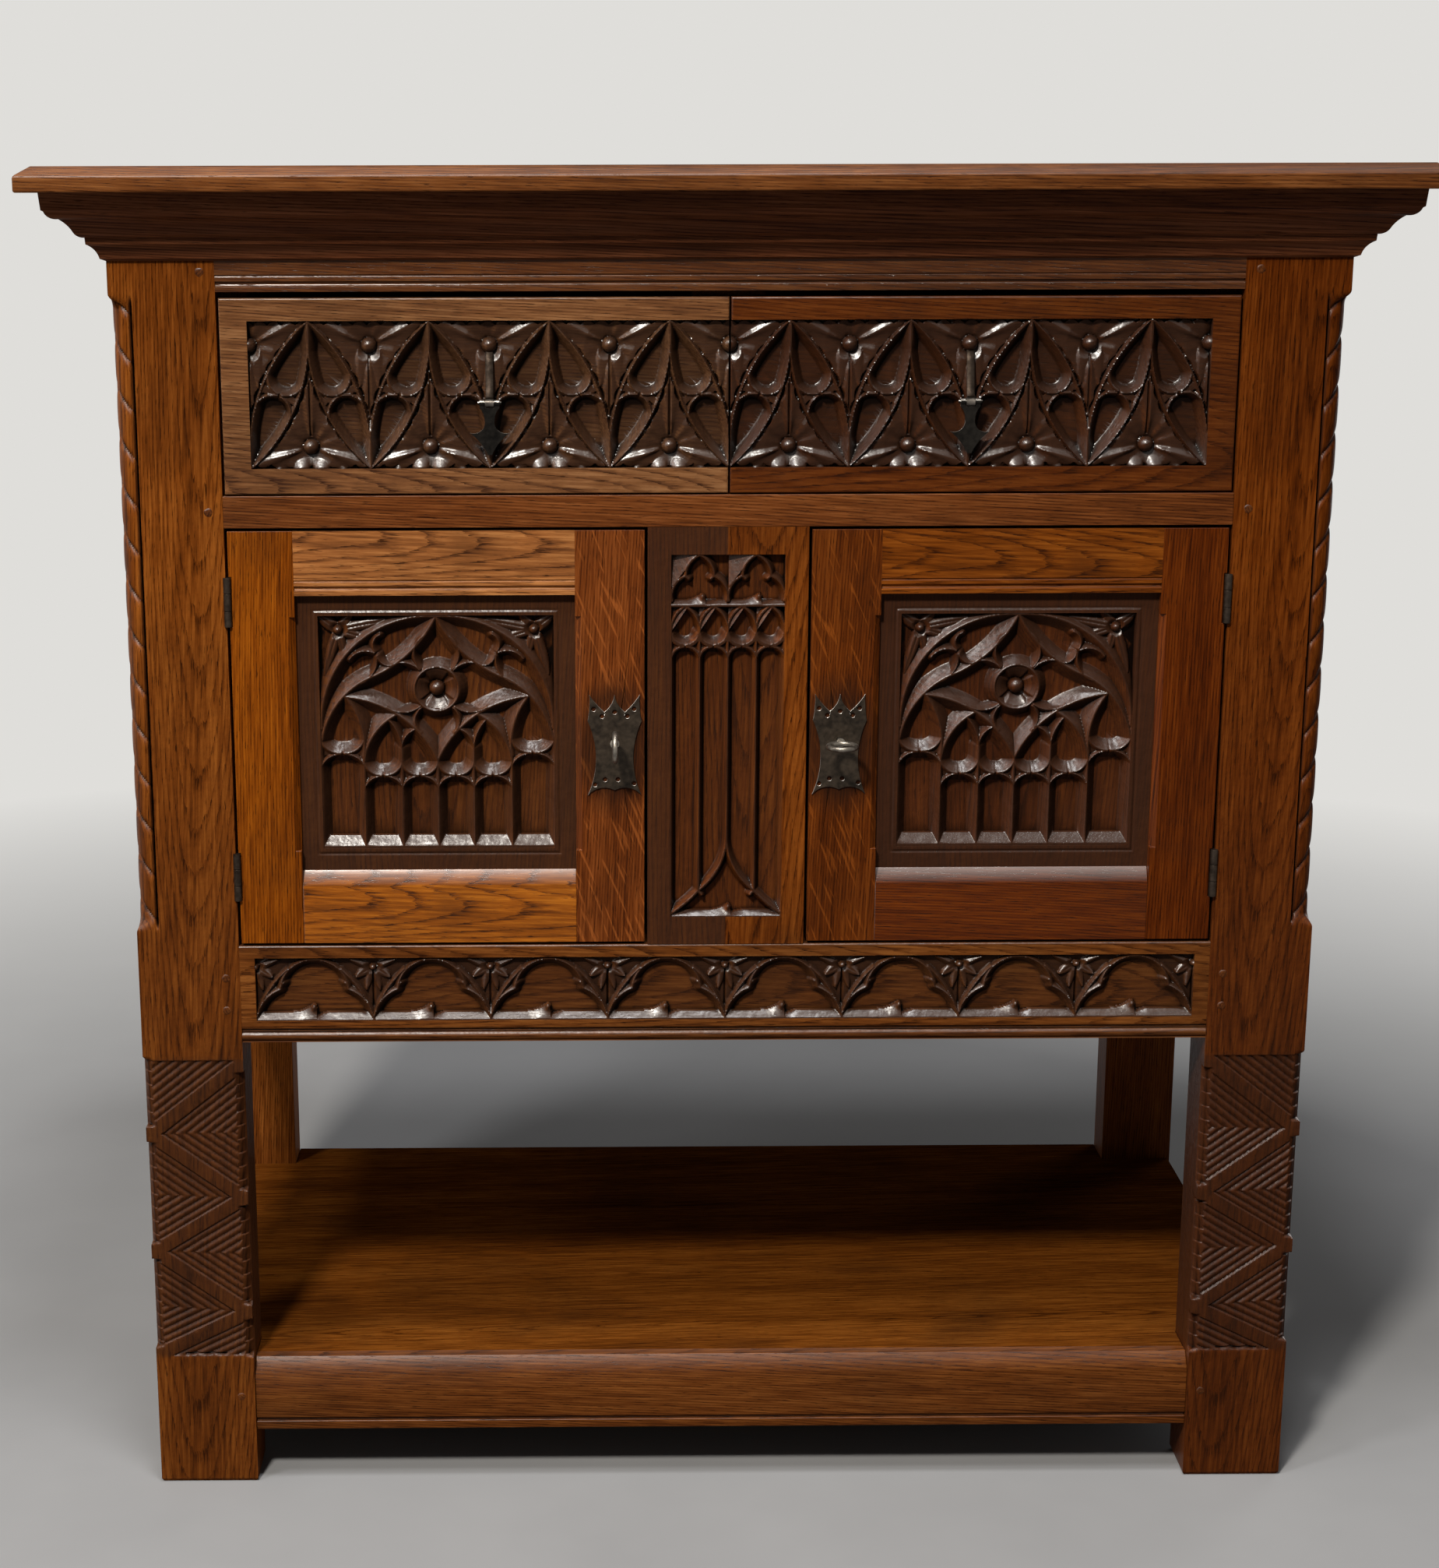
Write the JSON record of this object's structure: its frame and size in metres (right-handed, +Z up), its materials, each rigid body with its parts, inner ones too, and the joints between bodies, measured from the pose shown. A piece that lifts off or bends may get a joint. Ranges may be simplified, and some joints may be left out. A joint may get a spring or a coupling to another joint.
{
  "type": "buffet",
  "caption": "Carved oak buffet: drawers with drop pulls over traceried cupboard doors with keys, on carved posts with an open pot board below.",
  "frame": {"origin": "middle of the top board's outline, on the floor", "axes": "+Z up, the front with drawers and doors faces -Y, +X to a viewer's right"},
  "size_m": [1.118, 0.565, 1.146],
  "materials": {
    "oak": "waxed, dark patina in the carving",
    "iron": "forged, blackened",
    "steel": "dulled"
  },
  "bodies": {
    "carcass": {"front_post_left": "oak", "front_post_right": "oak", "back_post_left": "oak", "back_post_right": "oak", "top_board": "oak", "cornice_front": "oak", "cornice_right": "oak", "cornice_left": "oak", "centre_muntin": "oak", "cupboard_floor": "oak", "top_rail": "oak", "drawer_rail": "oak", "frieze_rail": "oak", "pot_board_front_rail": "oak", "joint_pegs": "oak", "side_rails_left": "oak", "side_rails_right": "oak", "side_panel_left": "oak", "side_panel_right": "oak", "back_rails": "oak", "back_boards": "oak", "pot_board": "oak", "pot_board_rails": "oak", "drawer_runners": "oak", "drawer_kickers": "oak", "post_hinge_leaves": "steel", "hinge_pins": "steel"},
    "left_door": {"left_door_hinge_stile": "oak", "left_door_lock_stile": "oak", "left_door_top_rail": "oak", "left_door_bottom_rail": "oak", "left_door_panel": "oak", "left_door_hinge_leaves": "steel", "left_escutcheon": "iron", "left_lock_case": "steel"},
    "left_key_turn": {"left_key": "iron"},
    "left_bolt": {"left_lock_bolt": "steel"},
    "left_drawer": {"left_drawer_front": "oak", "left_drawer_sides": "oak", "left_drawer_back": "oak", "left_drawer_bottom": "oak", "left_pull_eye": "iron"},
    "left_pull": {"left_pull_drop": "iron"},
    "right_door": {"right_door_hinge_stile": "oak", "right_door_lock_stile": "oak", "right_door_top_rail": "oak", "right_door_bottom_rail": "oak", "right_door_panel": "oak", "right_door_hinge_leaves": "steel", "right_escutcheon": "iron", "right_lock_case": "steel"},
    "right_key_turn": {"right_key": "iron"},
    "right_bolt": {"right_lock_bolt": "steel"},
    "right_drawer": {"right_drawer_front": "oak", "right_drawer_sides": "oak", "right_drawer_back": "oak", "right_drawer_bottom": "oak", "right_pull_eye": "iron"},
    "right_pull": {"right_pull_drop": "iron"}
  },
  "joints": [
    {"name": "left_door_hinge", "type": "hinge", "parent": "carcass", "child": "left_door", "pos_m": [-0.41275, -0.2233, 0.678], "axis": [0, 0, -1], "range_deg": [0, 160]},
    {"name": "left_drawer_slide", "type": "slide", "parent": "carcass", "child": "left_drawer", "axis": [0, -1, 0], "range_m": [0, 0.3]},
    {"name": "left_pull_swing", "type": "hinge", "parent": "left_drawer", "child": "left_pull", "pos_m": [-0.19475, -0.2271, 0.9585], "axis": [-1, 0, 0], "range_deg": [0, 80]},
    {"name": "left_key_turn", "type": "hinge", "parent": "left_door", "child": "left_key_turn", "pos_m": [-0.094, -0.2225, 0.677], "axis": [0, 1, 0], "range_deg": [0, 90]},
    {"name": "left_bolt_throw", "type": "slide", "parent": "left_door", "child": "left_bolt", "axis": [1, 0, 0], "range_m": [0, 0.0091]},
    {"name": "right_door_hinge", "type": "hinge", "parent": "carcass", "child": "right_door", "pos_m": [0.41275, -0.2233, 0.678], "axis": [0, 0, 1], "range_deg": [0, 160]},
    {"name": "right_drawer_slide", "type": "slide", "parent": "carcass", "child": "right_drawer", "axis": [0, -1, 0], "range_m": [0, 0.3]},
    {"name": "right_pull_swing", "type": "hinge", "parent": "right_drawer", "child": "right_pull", "pos_m": [0.19475, -0.2271, 0.9585], "axis": [-1, 0, 0], "range_deg": [0, 80]},
    {"name": "right_key_turn", "type": "hinge", "parent": "right_door", "child": "right_key_turn", "pos_m": [0.094, -0.2225, 0.677], "axis": [0, -1, 0], "range_deg": [0, 90]},
    {"name": "right_bolt_throw", "type": "slide", "parent": "right_door", "child": "right_bolt", "axis": [-1, 0, 0], "range_m": [0, 0.0091]}
  ],
  "couplings": [
    {"joint": "left_bolt_throw", "follows": "left_key_turn", "m_per_rad": 0.00573},
    {"joint": "right_bolt_throw", "follows": "right_key_turn", "m_per_rad": 0.00573}
  ]
}
